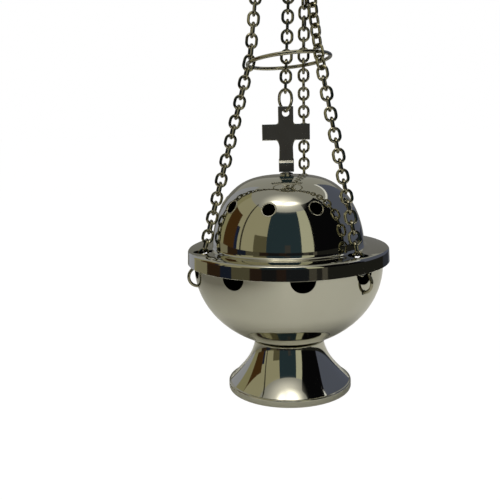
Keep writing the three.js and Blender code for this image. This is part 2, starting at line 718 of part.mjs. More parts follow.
// The lid chain runs from the bail up through the cap's bore, and its ring lies on the cap
const lidHook = bailTop - (BAIL_WIRE + CHAIN_WIRE) / 2 - HOOK_GAP;
const pullHeight = capTop + PULL_RING_WIRE / 2 + 2 * GAP;
const lidChainTop = pullHeight + (PULL_RING_WIRE + CHAIN_WIRE) / 2 + HOOK_GAP;
function lidChain() {
  const start = new THREE.Vector3(0, 0, lidHook);
  const rise = new THREE.Vector3(CAP_SHIFT_X, CAP_SHIFT_Y, lidChainTop).sub(start);
  const reach = rise.length();
  const along = rise.normalize();
  const count = linkCount(reach - CHAIN_WIRE, true);
  const pitch = (reach - CHAIN_WIRE + LINK_SEAT) / count;
  const first = start.clone().addScaledVector(along, (pitch + CHAIN_WIRE - LINK_SEAT) / 2);
  return chainRun(first, along, pitch, count, false, sideways(0));
}

function pullRing() {
  const front = CAP_SHIFT_Y - (PULL_RING_DIAMETER - PULL_RING_WIRE) / 2;
  const centre = new THREE.Vector3(CAP_SHIFT_X, front, pullHeight);
  return wireRing(PULL_RING_DIAMETER, PULL_RING_WIRE, centre, new THREE.Vector3(0, 0, 1), 16);
}

const cupFloor = bowlBase + SHEET;
const footScrewTail = webBase - 2 * GAP - WASHER - NUT_HEIGHT - 1;
const domeUnder = domeTop - SHEET - GAP;

add('foot', foot(), POLISHED);
add('bowl', bowl(), POLISHED);
add('foot_screw', screw(cupFloor + GAP, footScrewTail, SCREW_HEAD_RADIUS, SCREW_RADIUS), STEEL);
add('foot_washer', washer(SCREW_RADIUS + GAP, webBase - GAP), STEEL);
add('foot_nut', nut(SCREW_RADIUS + GAP, webBase - 2 * GAP - WASHER), STEEL);
add('charcoal_cup', cup(), SPUN_BRASS);
add('lid', lid(), POLISHED);
add('cross', cross(), BRIGHT);
add('cross_stud', stud(), BRIGHT);
add('stud_washer', washer(STUD_THREAD + GAP, domeUnder), STEEL);
add('stud_nut', nut(STUD_THREAD + GAP, domeUnder - WASHER - GAP), STEEL);
add('bail', bail(), CHAIN_NICKEL);
add('lid_chain', lidChain(), CHAIN_NICKEL);
add('pull_ring', pullRing(), CHAIN_NICKEL);
add('spacer_ring', spacerRing(), BRIGHT);
chainAzimuths.forEach((azimuth, index) => {
  const number = index + 1;
  const stretch = suspension(index);
  const jumpRing = wireRing(JUMP_DIAMETER, JUMP_WIRE, jumpPoint(index), sideways(azimuth), 16);
  const capAcross = sideways(capAzimuths[index]);
  const capRing = wireRing(CAP_RING_DIAMETER, CAP_RING_WIRE, capRingPoint(index), capAcross, 12);
  add(`jump_ring_${number}`, jumpRing, CHAIN_NICKEL);
  add(`chain_${number}_lower`, stretch.lower, CHAIN_NICKEL);
  add(`chain_${number}_upper`, stretch.upper, CHAIN_NICKEL);
  add(`chain_${number}_top`, stretch.top, CHAIN_NICKEL);
  add(`cap_ring_${number}`, capRing, CHAIN_NICKEL);
});
add('hand_cap', handCap(), POLISHED);
add('hang_eye', hangEye(), BRIGHT);
add('hang_ring', hangRing(), BRIGHT);

export default burner;
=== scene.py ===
"""Looks of the hanging incense burner: finer shells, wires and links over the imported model.

Sizes are in millimetres and become metres where a mesh is made. Azimuths are degrees from the
front (-Y), positive towards +X.
"""

import json
import math

import bmesh
import bpy
from mathutils import Matrix, Vector

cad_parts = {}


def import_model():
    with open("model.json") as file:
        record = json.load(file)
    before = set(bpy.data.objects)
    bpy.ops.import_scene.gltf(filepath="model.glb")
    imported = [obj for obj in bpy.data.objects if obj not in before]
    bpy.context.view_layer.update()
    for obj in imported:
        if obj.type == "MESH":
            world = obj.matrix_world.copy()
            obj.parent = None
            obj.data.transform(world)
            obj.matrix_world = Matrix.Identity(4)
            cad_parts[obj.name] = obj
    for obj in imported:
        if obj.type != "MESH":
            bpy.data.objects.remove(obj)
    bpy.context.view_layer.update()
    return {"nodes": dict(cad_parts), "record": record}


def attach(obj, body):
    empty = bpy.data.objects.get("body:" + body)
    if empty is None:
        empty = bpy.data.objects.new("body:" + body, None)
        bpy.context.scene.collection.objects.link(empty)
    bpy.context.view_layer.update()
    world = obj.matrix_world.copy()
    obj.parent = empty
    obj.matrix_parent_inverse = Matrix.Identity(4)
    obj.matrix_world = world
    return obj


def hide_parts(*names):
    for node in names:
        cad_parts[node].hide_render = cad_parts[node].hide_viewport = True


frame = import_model()
scene = bpy.context.scene
MM = 0.001

# Sizes of the burner
SHEET = 1.2
GAP = 0.3

FOOT_RADIUS = 34.7
FOOT_BAND = 4.1
FOOT_BAND_SET = 0.25  # how far the band's face stands in, for its rounded edges
FOOT_CREASE = 33.5
FOOT_FLARE = ((25.6, 11.8), (20.5, 17.8))
FOOT_HEIGHT = 28.2
NECK_RADIUS = 19.3
NECK_BEAD = 1.1

BOWL_RADIUS = 51.5
BOWL_DEPTH = 44.5
BOWL_COLLAR = 8.5
BOWL_FLAT = 8
BOWL_EDGE = 0.3
# Height above the bowl's centre of the point that picks the inner faces painted dark as shade
BOWL_SHADE_RISE = 4

SKIRT_RADIUS = 55
SKIRT_HEIGHT = 7.6
SKIRT_FLARE = 0.6
DOME_RADIUS = 41.4
DOME_HEIGHT = 38.9
DOME_FILLET = 3.2
DOME_FLAT = 5
DOME_POWER_UP = 1.7
DOME_POWER_OUT = 3.2

VENT_COUNT = 9
VENT_WIDTH = 12.8
VENT_DROP = 6.4
VENT_PHASE = 8
DOME_VENT_BORE = 6.6
DOME_VENT_RIM = 7.3
VENT_BEAD = 0.32  # radius of the bead round a vent
VENT_BEAD_REACH = 3.75
DOME_VENT_PHASE = -15.2
DOME_VENT_DROP = 14.6
DOME_VENT_PITCH = 20

CHAIN_PHASE = 48
CHAIN_COUNT = 3
CHAIN_BORE = 10.4
CHAIN_BORE_REACH = 47.334
CHAIN_WIRE = 1.57
LINK_WIDTH = 6.8
LINK_SEAT = 0.1

JUMP_WIRE = 1.7
JUMP_DIAMETER = 12
JUMP_EASE = 0.02  # keeps the rounder wire inside the solid's box
JUMP_REACH = 50.3963
JUMP_HOLE = 2.8
JUMP_HOLE_DROP = 10.4
HOOK_GAP = 0.15

SPACER_WIRE = 2
SPACER_DIAMETER = 45.6
SPACER_HEIGHT = 178.4
SPACER_TILT = 6.5
SPACER_SLACK = 0.42
SPACER_SHIFT_X = 2.1
SPACER_SHIFT_Y = 1.5
SPACER_TURNS = (-5, -10, 2)
CHAIN_TWISTS = (45, 0, 0)
TWIST_RAMP = 3
LOWER_LINKS = 9
UPPER_LINKS = 12
TOP_LINKS = 7

CROSS_WIDTH = 25.4
CROSS_STEM = 8.1
CROSS_ARM = 8.5
CROSS_ARM_DROP = 9.2
CROSS_HEIGHT = 34.4
CROSS_PLATE = 2.8
CROSS_CORNER = 1.6
CROSS_WAIST = 0.4
CROSS_WAIST_DROP = 2
CROSS_FOOT_BLOCK = 4.6
CROSS_FOOT_DEPTH = 5
CROSS_FOOT_RIDGE = 2.4
CROSS_FOOT_EDGE = 0.3
CROSS_EYE = 3.8
CROSS_EYE_DROP = 3.4
CROSS_EDGE = 0.4

STUD_THREAD = 2
COLLAR_HEIGHT = 0.8
STUD_NECK = 0.5

BAIL_WIRE = 1.6
BAIL_WIDTH = 8.2
BAIL_RISE = 11.3
# Half of the bail's line, in shares of its half width, its stand-off from the plate and its rise
BAIL_KNOTS = ((0, 0, 0), (0.24, -1, 0.04), (0.8, -1, 0.28), (1, -0.4, 0.55), (0.8, 0, 0.84), (0, 0, 1))
BAIL_STEPS = 6

LID_CHAIN_LINKS = 13

CAP_RADIUS = 18.3
CAP_RISE = 2.2
CAP_FLAT = 8.4
CAP_STEP = 1.4
CAP_TURN = 0.7
CAP_EDGE = 0.4
CAP_HEIGHT = 222.2
CAP_BORE = 11
CAP_HOLE = 3
CAP_RIM_INSET = 1.7
CAP_RING_DROP = 1.4
CAP_RING_WIRE = 1.5
CAP_RING_DIAMETER = 8.9
CAP_SHIFT_X = 3.2
CAP_SHIFT_Y = 0.6
CAP_SPIN = -17

PULL_RING_DIAMETER = 14
PULL_RING_WIRE = 1.8
HANG_RING_DIAMETER = 26
HANG_RING_WIRE = 2.4
HANG_EYE_SET = 13.2
HANG_EYE_WIRE = 2
HANG_EYE_DIAMETER = 7

SCREW_HOLE = 2.3
TURNED_STEPS = 144

# Heights that follow from the sizes
bowl_seat_dip = math.sqrt(1 - ((NECK_RADIUS - SHEET / 2) / BOWL_RADIUS) ** 2)
bowl_centre = FOOT_HEIGHT + GAP + BOWL_DEPTH * bowl_seat_dip
bowl_base = bowl_centre - BOWL_DEPTH * math.sqrt(1 - (BOWL_FLAT / BOWL_RADIUS) ** 2)
bowl_rim = bowl_centre + BOWL_COLLAR
web_top = bowl_base - GAP
web_base = web_top - SHEET
flange_base = bowl_rim + GAP
flange_top = flange_base + SHEET
skirt_base = flange_top - SKIRT_HEIGHT
dome_base = flange_top + DOME_FILLET / 2
dome_top = flange_top + DOME_HEIGHT
vent_centre = bowl_rim - VENT_DROP
dome_vent_height = dome_top - DOME_VENT_DROP
jump_radius = (JUMP_DIAMETER - JUMP_WIRE) / 2
jump_hole_height = vent_centre - JUMP_HOLE_DROP
jump_height = jump_hole_height + jump_radius
spacer_radius = (SPACER_DIAMETER - SPACER_WIRE) / 2
cross_base = dome_top + GAP + COLLAR_HEIGHT + STUD_NECK
cross_eye_height = cross_base + CROSS_HEIGHT - CROSS_EYE_DROP
bail_base = cross_eye_height + (CROSS_EYE - BAIL_WIRE) / 2 - 0.2
bail_top = bail_base + BAIL_RISE
cap_top = CAP_HEIGHT + CAP_RISE + SHEET / 2
cap_rim_top = CAP_HEIGHT + SHEET / 2
cap_ring_radius = (CAP_RING_DIAMETER - CAP_RING_WIRE) / 2
cap_ring_reach = CAP_RADIUS - CAP_RIM_INSET
cap_ring_height = CAP_HEIGHT - CAP_RING_DROP
cap_hole_reach = cap_ring_reach - math.sqrt(cap_ring_radius**2 - CAP_RING_DROP**2)
pull_height = cap_top + PULL_RING_WIRE / 2 + 2 * GAP
hang_eye_height = cap_rim_top + HANG_EYE_DIAMETER / 2 + GAP

chain_azimuths = [CHAIN_PHASE + 360 * i / CHAIN_COUNT for i in range(CHAIN_COUNT)]
spacer_azimuths = [azimuth + turn for azimuth, turn in zip(chain_azimuths, SPACER_TURNS)]
cap_azimuths = [azimuth + CAP_SPIN for azimuth in chain_azimuths]
vent_azimuths = [VENT_PHASE + 360 * i / VENT_COUNT for i in range(VENT_COUNT)]
dome_vent_azimuths = [DOME_VENT_PHASE + 360 * i / VENT_COUNT for i in range(VENT_COUNT)]
UP = Vector((0, 0, 1))
spacer_centre = Vector((SPACER_SHIFT_X, SPACER_SHIFT_Y, SPACER_HEIGHT))
cap_centre = Vector((CAP_SHIFT_X, CAP_SHIFT_Y, 0))
hang_eye_x = CAP_SHIFT_X + HANG_EYE_SET


# Camera

CAMERA_AT = (0, -362.516, 145.827)
CAMERA_PITCH_YAW_ROLL = (10.607, -3.2835, -1.497)
CAMERA_LENS = 48.192


def camera():
    """The photograph's view: from in front, a little above the lid, looking slightly down."""
    pitch, yaw, roll = (math.radians(angle) for angle in CAMERA_PITCH_YAW_ROLL)
    ahead = Vector((math.sin(yaw) * math.cos(pitch), math.cos(yaw) * math.cos(pitch), -math.sin(pitch)))
    right = Vector((math.cos(yaw), -math.sin(yaw), 0))
    up = right.cross(ahead)
    level = Matrix((right, up, -ahead)).transposed()
    turn = Matrix.Rotation(roll, 3, "Z")
    data = bpy.data.cameras.new("camera")
    data.lens = CAMERA_LENS
    data.sensor_width = 36
    data.clip_start = 0.01
    eye = bpy.data.objects.new("camera", data)
    eye.matrix_world = Matrix.Translation(Vector(CAMERA_AT) * MM) @ (level @ turn).to_4x4()
    scene.collection.objects.link(eye)
    scene.camera = eye


# Materials

def linear(code):
    """An sRGB hex colour as linear RGBA."""
    parts = [int(code[i : i + 2], 16) / 255 for i in (1, 3, 5)]
    return [c / 12.92 if c <= 0.04045 else ((c + 0.055) / 1.055) ** 2.4 for c in parts] + [1]


def node(tree, kind, settings=None, **inputs):
    """Adds a node with its settings. Each input is a value, or a socket to link from, and is named
    by its label, or by its number after an underscore."""
    made = tree.nodes.new(kind)
    for name, value in (settings or {}).items():
        setattr(made, name, value)
    for name, value in inputs.items():
        socket = made.inputs[int(name[1:]) if name[0] == "_" else name.replace("_", " ")]
        if isinstance(value, bpy.types.NodeSocket):
            tree.links.new(value, socket)
        else:
            socket.default_value = value
    return made


def material(name):
    made = bpy.data.materials.new(name)
    made.use_nodes = True
    made.node_tree.nodes.clear()
    return made, made.node_tree


def metal(name, bright, dull, roughness, wear, grain_mm, depth_mm):
    """A bare or plated metal: two close tones, a roughness that varies, and a faint relief."""
    made, tree = material(name)
    where = node(tree, "ShaderNodeTexCoord").outputs["Object"]
    cloud = node(tree, "ShaderNodeTexNoise", Vector=where, Scale=1 / (grain_mm * MM), Detail=3.0).outputs["Fac"]
    fine = node(tree, "ShaderNodeTexNoise", Vector=where, Scale=6 / (grain_mm * MM), Detail=2.0).outputs["Fac"]
    tone = node(tree, "ShaderNodeMix", {"data_type": "RGBA"}, _0=cloud, _6=linear(bright), _7=linear(dull))
    gloss = node(tree, "ShaderNodeMapRange", Value=fine, To_Min=roughness - wear, To_Max=roughness + wear)
    relief = node(tree, "ShaderNodeBump", Strength=1.0, Distance=depth_mm * MM, Height=cloud)
    shader = node(
        tree, "ShaderNodeBsdfPrincipled", Base_Color=tone.outputs[2], Metallic=1.0,
        Roughness=gloss.outputs[0], Normal=relief.outputs[0],
    )
    node(tree, "ShaderNodeOutputMaterial", Surface=shader.outputs[0])
    return made


# Nickel plate buffed to a mirror: it shows the room, with a warm tint
polished_nickel = metal("polished_nickel_plate", "#cbcabd", "#c5c3b5", 0.05, 0.02, 14, 0.012)
# The same plate on the inside, dulled, and painted near black as shade: dark and soft through the vents
nickel_painted_shade = metal("nickel_plate_painted_shade", "#2a2824", "#171614", 0.5, 0.1, 9, 0.02)
# Cast and buffed pieces are a little softer at the edges
cast_nickel = metal("cast_nickel_plate", "#cdccc4", "#b9b6aa", 0.09, 0.03, 5, 0.012)
# The thin raised edge round a vent, buffed but not flat, so it gathers light from all round
buffed_edge = metal("buffed_nickel_edge", "#dedbcb", "#cfcbb8", 0.3, 0.05, 3, 0.01)
# Drawn wire with a dull film from handling
chain_nickel = metal("drawn_nickel_wire", "#bab6a0", "#7c7762", 0.1, 0.05, 1.6, 0.02)
# The spreading ring's wire is handled less: smooth, with one bright line along it
ring_nickel = metal("polished_nickel_wire", "#c2beaa", "#aaa690", 0.08, 0.02, 6, 0.008)
# Zinc-plated screw, washers and nuts: greyer and duller than the nickel round them
plain_steel = metal("zinc_steel_fastener", "#b4b6b8", "#8d9092", 0.3, 0.08, 2, 0.01)
# The charcoal cup's bare brass, warm and a little hazy from heat
spun_brass = metal("spun_brass_sheet", "#c9ab68", "#a58850", 0.28, 0.08, 6, 0.01)


# Mesh helpers

def smooth(mesh, angle=35):
    mesh.shade_smooth()
    mesh.set_sharp_from_angle(angle=math.radians(angle))
    return mesh


def mesh_of(name, body):
    mesh = bpy.data.meshes.new(name)
    bmesh.ops.recalc_face_normals(body, faces=body.faces)
    bmesh.ops.scale(body, vec=(MM, MM, MM), verts=body.verts)
    body.to_mesh(mesh)
    body.free()
    return smooth(mesh)


def piece(name, mesh, finish, body, slot, *nodes):
    """Puts a mesh in the scene with its finish, on its moving body, in the place of CAD nodes."""
    made = bpy.data.objects.new(name, mesh)
    mesh.materials.clear()
    mesh.materials.append(finish)
    scene.collection.objects.link(made)
    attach(made, body)
    if nodes:
        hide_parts(*nodes)


def paint_shade_inside(mesh, centre_height):
    """Gives the faces that look towards a point on the axis the dull finish, painted near black as shade."""
    mesh.materials.append(nickel_painted_shade)
    centre = Vector((0, 0, centre_height * MM))
    for face in mesh.polygons:
        if face.normal.dot(face.center - centre) < 0:
            face.material_index = 1


def turned(name, outline, steps=TURNED_STEPS):
    """A turned piece from its half outline, given as (radius, height) pairs that close."""
    body = bmesh.new()
    points = [body.verts.new((r, 0, z)) for r, z in outline]
    edges = [body.edges.new((a, b)) for a, b in zip(points, points[1:] + points[:1])]
    bmesh.ops.spin(
        body, geom=points + edges, axis=(0, 0, 1), cent=(0, 0, 0), angle=2 * math.pi,
        steps=steps, use_merge=True,
    )
    bmesh.ops.remove_doubles(body, verts=body.verts, dist=1e-4)
    return mesh_of(name, body)


def place(reach, azimuth, height):
    angle = math.radians(azimuth)
    return Vector((reach * math.sin(angle), -reach * math.cos(angle), height))


def sideways(azimuth):
    return UP.cross(place(1, azimuth, 0))


def frame_at(centre, x_axis, y_axis, z_axis):
    turn = Matrix((x_axis, y_axis, z_axis)).transposed().to_4x4()
    return Matrix.Translation(centre) @ turn


def closed_wire(body, path, radius, sides, at=Matrix.Identity(4)):
    """Sweeps a round section along a closed path into a mesh body."""
    count = len(path)
    points = [at @ point for point in path]
    tangents = [(points[(i + 1) % count] - points[i - 1]).normalized() for i in range(count)]
    normal = tangents[0].orthogonal().normalized()
    normals = []
    for tangent in tangents:
        normal = (normal - tangent * normal.dot(tangent)).normalized()
        normals.append(normal)
    closing = (normals[-1] - tangents[0] * normals[-1].dot(tangents[0])).normalized()
    slip = closing.cross(normals[0]).dot(tangents[0])
    twist = math.atan2(slip, closing.dot(normals[0]))
    rings = []
    for i, (point, tangent, normal) in enumerate(zip(points, tangents, normals)):
        turned_normal = Matrix.Rotation(twist * i / count, 3, tangent) @ normal
        across = tangent.cross(turned_normal)
        ring = []
        for j in range(sides):
            angle = 2 * math.pi * j / sides
            outward = math.cos(angle) * turned_normal + math.sin(angle) * across
            ring.append(body.verts.new(point + radius * outward))
        rings.append(ring)
    for i in range(count):
        for j in range(sides):
            here, there = rings[i], rings[(i + 1) % count]
            k = (j + 1) % sides
            body.faces.new((here[j], here[k], there[k], there[j]))


def circle(diameter, wire, steps):
    radius = (diameter - wire) / 2
    turns = [2 * math.pi * i / steps for i in range(steps)]
    return [Vector((radius * math.cos(t), radius * math.sin(t), 0)) for t in turns]


def wire_ring(name, diameter, wire, centre, axis, steps=64, sides=16):
    body = bmesh.new()
    at = Matrix.Translation(centre) @ UP.rotation_difference(axis).to_matrix().to_4x4()
    closed_wire(body, circle(diameter, wire, steps), wire / 2, sides, at)
    return mesh_of(name, body)


def link_path(length, steps=28):
    """The middle line of one oval link: a circle whose halves are drawn apart along the link."""
    stretch = (length - LINK_WIDTH) / 2
    path = circle(LINK_WIDTH, CHAIN_WIRE, steps)
    half = math.pi / steps
    turned_path = [Matrix.Rotation(half, 3, "Z") @ point for point in path]
    return [point + Vector((0, math.copysign(stretch, point.y), 0)) for point in turned_path]


def add_link(body, centre, along, normal, length):
    across = along.cross(normal).normalized()
    closed_wire(body, link_path(length), CHAIN_WIRE / 2, 10, frame_at(centre, across, along, normal))


def add_run(body, start, along, pitch, count, flat_first, side, twist_at=lambda i: 0):
    """A run of links on a straight line, each a quarter turn from the one before, and turned on by
    the angle that twist_at gives where the chain hangs twisted."""
    length = pitch + 2 * CHAIN_WIRE - LINK_SEAT
    face = side.cross(along).normalized()
    for i in range(count):
        flat = face if (i % 2 == 0) == flat_first else side
        normal = Matrix.Rotation(math.radians(twist_at(i)), 3, along) @ flat
        add_link(body, start + along * (i * pitch), along, normal, length)


def cylinder(body, radius, start, end, steps):
    """A closed round cutter from one point to another."""
    line = end - start
    at = Matrix.Translation((start + end) / 2) @ UP.rotation_difference(line.normalized()).to_matrix().to_4x4()
    bmesh.ops.create_cone(
        body, cap_ends=True, segments=steps, radius1=radius, radius2=radius, depth=line.length, matrix=at
    )


def cut(name, mesh, cutters):
    """Cuts one mesh out of another and returns what is left."""
    whole = bpy.data.objects.new(name, mesh)
    tool = bpy.data.objects.new(name + "_cutter", cutters)
    for made in (whole, tool):
        scene.collection.objects.link(made)
    change = whole.modifiers.new("cut", "BOOLEAN")
    change.operation = "DIFFERENCE"
    change.solver = "EXACT"
    change.object = tool
    bpy.context.view_layer.update()
    rest = bpy.data.meshes.new_from_object(whole.evaluated_get(bpy.context.evaluated_depsgraph_get()))
    for made in (whole, tool):
        bpy.data.objects.remove(made)
    return smooth(rest)


def extruded(points, push):
    """A solid body from a flat outline that is pushed out."""
    body = bmesh.new()
    face = body.faces.new([body.verts.new(point) for point in points])
    pushed = bmesh.ops.extrude_face_region(body, geom=[face])
    moved = [v for v in pushed["geom"] if isinstance(v, bmesh.types.BMVert)]
    bmesh.ops.translate(body, vec=push, verts=moved)
    return body


def curve(knots, count):
    """Points on a smooth curve between the outer knots that leans towards the inner ones."""
    points = []
    for i in range(count + 1):
        t = i / count
        left = list(knots)
        while len(left) > 1:
            left = [tuple((1 - t) * a + t * b for a, b in zip(p, q)) for p, q in zip(left, left[1:])]
        points.append(left[0])
    return points


# Foot, bowl and lid

def foot():
    band = FOOT_RADIUS - FOOT_BAND_SET
    bead = FOOT_HEIGHT - NECK_BEAD
    neck_edge = (NECK_RADIUS + 0.2, FOOT_HEIGHT)
    outside = curve([(FOOT_CREASE - 0.1, FOOT_BAND), *FOOT_FLARE, (NECK_RADIUS - 0.2, bead)], 48)
    inside = [(r - SHEET, z) for r, z in outside[:-6]][::-1]
    outline = [
        (FOOT_RADIUS - 2 * SHEET, 0),
        (band - 0.45, 0),
        (band - 0.15, 0.12),
        (band, 0.5),
        (band, FOOT_BAND - 1),
        *curve([(band, FOOT_BAND - 0.8), (band - 0.05, FOOT_BAND), (FOOT_CREASE, FOOT_BAND)], 8),
        *outside,
        *curve([(NECK_RADIUS - 0.25, bead + 0.05), (NECK_RADIUS + 2.2, bead + 0.5), neck_edge], 12),
        (NECK_RADIUS - SHEET, FOOT_HEIGHT),
        (NECK_RADIUS - SHEET, web_top),
        (SCREW_HOLE, web_top),
        (SCREW_HOLE, web_base),
        (NECK_RADIUS - SHEET, web_base),
        *inside,
    ]
    piece("foot_shell", turned("foot_shell", outline), polished_nickel, "vessel", "polished_nickel", "foot")


def bowl_wall(inset):
    radius = BOWL_RADIUS - inset
    depth = BOWL_DEPTH - inset
    start = math.asin(BOWL_FLAT / radius)
    steps = 48
    angles = [start + (math.pi / 2 - start) * i / steps for i in range(steps + 1)]
    return [(radius * math.sin(a), bowl_centre - depth * math.cos(a)) for a in angles]


def bowl():
    outside = bowl_wall(0)
    inside = bowl_wall(SHEET)[::-1]
    outline = [
        (SCREW_HOLE, bowl_base),
        *outside,
        (BOWL_RADIUS, bowl_rim - BOWL_EDGE),
        (BOWL_RADIUS - BOWL_EDGE, bowl_rim),
        (BOWL_RADIUS - SHEET, bowl_rim),
        *inside,
        (SCREW_HOLE, inside[-1][1]),
    ]
    tools = bmesh.new()
    for azimuth in vent_azimuths:
        near, far = (place(reach, azimuth, vent_centre) for reach in (BOWL_RADIUS / 2, SKIRT_RADIUS))
        cylinder(tools, VENT_WIDTH / 2, near, far, 48)
    for azimuth in chain_azimuths:
        near, far = (place(reach, azimuth, jump_hole_height) for reach in (BOWL_RADIUS / 2, SKIRT_RADIUS))
        cylinder(tools, JUMP_HOLE / 2, near, far, 24)
    slots = bmesh.new()
    for azimuth in vent_azimuths:
        turn = Matrix.Rotation(math.radians(azimuth), 4, "Z")
        size = Matrix.Diagonal((VENT_WIDTH, BOWL_RADIUS / 2, VENT_DROP * 2, 1))
        at = turn @ Matrix.Translation((0, -BOWL_RADIUS, vent_centre + VENT_DROP)) @ size
        bmesh.ops.create_cube(slots, size=1, matrix=at)
    shell = cut("bowl_round_vents", turned("bowl_blank", outline), mesh_of("bowl_tools", tools))
    shell = cut("bowl_open_vents", shell, mesh_of("bowl_slots", slots))
    piece("bowl_shell", shell, polished_nickel, "vessel", "polished_nickel", "bowl")
    # The bowl's inner faces get the painted shade
    paint_shade_inside(shell, bowl_centre + BOWL_SHADE_RISE)


def dome_radius(share):
    """The dome's radius at a share of its rise: steep at the foot, rounded to a low crown."""
    return DOME_RADIUS * (1 - share**DOME_POWER_UP) ** (1 / DOME_POWER_OUT)


def dome_reach(height):
    return dome_radius((height - dome_base) / (dome_top - dome_base))


def square_to_dome(azimuth):
    """The direction that stands square on the dome at a vent."""
    slope = dome_reach(dome_vent_height) - dome_reach(dome_vent_height + 1)
    return place(1, azimuth, slope).normalized()


def dome_wall(inset):
    rise = dome_top - dome_base
    steps = 64
    wall = []
    for i in range(steps + 1):
        share = math.sin(math.pi / 2 * (i / steps) ** 0.9)
        r = dome_radius(share)
        if r > DOME_FLAT:
            wall.append((r - inset * (1 - share**3), dome_base + rise * share - inset * share**2))
    wall.append((DOME_FLAT, dome_top - inset))
    return wall


def lid():
    hole = STUD_THREAD + GAP
    fillet = [
        (DOME_RADIUS + DOME_FILLET * (1 - math.sin(t)), flange_top + DOME_FILLET * 0.5 * (1 - math.cos(t)))
        for t in (math.radians(10 * i) for i in range(9))
    ]
    outline = [
        (hole, dome_top - SHEET),
        *dome_wall(SHEET)[::-1],
        (DOME_RADIUS - SHEET, flange_base),
        (SKIRT_RADIUS - SHEET - SKIRT_FLARE, flange_base),
        (SKIRT_RADIUS - SHEET, skirt_base),
        (SKIRT_RADIUS - 0.2, skirt_base),
        (SKIRT_RADIUS, skirt_base + 0.2),
        (SKIRT_RADIUS - 0.03, skirt_base + 0.7),
        (SKIRT_RADIUS - SKIRT_FLARE / 2 + 0.02, flange_top - 1.5),
        (SKIRT_RADIUS - SKIRT_FLARE / 2 - 0.02, flange_top - 1.0),
        (SKIRT_RADIUS - SKIRT_FLARE - 0.25, flange_top - 0.3),
        (SKIRT_RADIUS - SKIRT_FLARE - 0.9, flange_top),
        *fillet,
        *dome_wall(0),
        (hole, dome_top),
    ]
    tools = bmesh.new()
    for azimuth in chain_azimuths:
        low = place(CHAIN_BORE_REACH, azimuth, flange_base - SHEET)
        high = place(CHAIN_BORE_REACH, azimuth, flange_top + DOME_FILLET)
        cylinder(tools, CHAIN_BORE / 2, low, high, 40)
    rims = bmesh.new()
    pitch = math.radians(DOME_VENT_PITCH)
    reach = dome_reach(dome_vent_height)
    bevel = (DOME_VENT_RIM - DOME_VENT_BORE) / 2
    for azimuth in dome_vent_azimuths:
        outward = place(math.cos(pitch), azimuth, math.sin(pitch))
        spot = place(reach, azimuth, dome_vent_height)
        cylinder(tools, DOME_VENT_BORE / 2, spot - outward * reach / 2, spot + outward * reach / 2, 40)
        turn = square_to_dome(azimuth).to_track_quat("Z", "Y").to_matrix().to_4x4()
        bmesh.ops.create_cone(
            rims, cap_ends=True, segments=40, radius1=DOME_VENT_BORE / 2 - bevel,
            radius2=DOME_VENT_RIM / 2 + bevel, depth=2 * bevel, matrix=Matrix.Translation(spot) @ turn,
        )
    shell = cut("lid_vents", turned("lid_blank", outline), mesh_of("lid_tools", tools))
    shell = cut("lid_vent_rims", shell, mesh_of("lid_rim_tools", rims))
    piece("lid_shell", shell, polished_nickel, "lid", "polished_nickel", "lid")
    # The lid's inner faces get the painted shade
    paint_shade_inside(shell, (skirt_base + flange_base) / 2)


def vent_beads():
    """The burr that the punch raised round each vent, buffed to a bright thin ring."""
    body = bmesh.new()
    steps = 48
    for azimuth in dome_vent_azimuths:
        across = sideways(azimuth)
        rising = square_to_dome(azimuth).cross(across)
        path = []
        for j in range(steps):
            turn = 2 * math.pi * j / steps
            point = place(dome_reach(dome_vent_height), azimuth, dome_vent_height)
            point += (math.cos(turn) * across + math.sin(turn) * rising) * VENT_BEAD_REACH
            on_dome = dome_reach(point.z) / math.hypot(point.x, point.y)
            path.append(Vector((point.x * on_dome, point.y * on_dome, point.z)))
        closed_wire(body, path, VENT_BEAD, 8)
    piece("lid_vent_beads", mesh_of("lid_vent_beads", body), buffed_edge, "lid", "polished_nickel")


# Cross, stud and bail

def cross():
    arm = CROSS_WIDTH / 2
    stem = CROSS_STEM / 2
    arm_top = CROSS_HEIGHT - CROSS_ARM_DROP
    arm_base = arm_top - CROSS_ARM
    corner = CROSS_CORNER
    waist = arm_base - corner - CROSS_WAIST_DROP
    half = [
        (stem, 0),
        *curve([(stem - CROSS_WAIST, waist), (stem, arm_base), (stem + corner, arm_base)], 10),
        (arm, arm_base),
        (arm, arm_top),
        *curve([(stem + corner, arm_top), (stem, arm_top), (stem, arm_top + corner)], 10),
        (stem, CROSS_HEIGHT),
    ]
    outline = half + [(-x, z) for x, z in half[::-1]]
    front = [(x, -CROSS_PLATE / 2, cross_base + z) for x, z in outline]
    body = extruded(front, (0, CROSS_PLATE, 0))
    rims = [e for e in body.edges if abs(e.verts[0].co.y - e.verts[1].co.y) < 1e-6]
    bmesh.ops.bevel(body, geom=rims, offset=CROSS_EDGE, segments=2, profile=0.5, affect="EDGES")
    eye = bmesh.new()
    low = Vector((0, -CROSS_FOOT_DEPTH, cross_eye_height))
    cylinder(eye, CROSS_EYE / 2, low, low + Vector((0, 2 * CROSS_FOOT_DEPTH, 0)), 40)
    plate = smooth(cut("cross_eye", mesh_of("cross_blank", body), mesh_of("cross_tools", eye)), 20)
    piece("cross_plate", plate, cast_nickel, "lid", "cast_nickel", "cross")

    deep = CROSS_FOOT_DEPTH / 2
    thin = CROSS_PLATE / 4
    shoulder = CROSS_FOOT_BLOCK
    ridge = shoulder + CROSS_FOOT_RIDGE
    side = [(-deep, 0), (deep, 0), (deep, shoulder), (thin, ridge), (-thin, ridge), (-deep, shoulder)]
    block = extruded([(-stem, y, cross_base + z) for y, z in side], (2 * stem, 0, 0))
    bmesh.ops.bevel(block, geom=block.edges[:], offset=CROSS_FOOT_EDGE, segments=2, profile=0.5, affect="EDGES")
    foot_block = mesh_of("cross_foot_block", block)
    foot_block.shade_flat()
    piece("cross_foot_block", foot_block, cast_nickel, "lid", "cast_nickel")


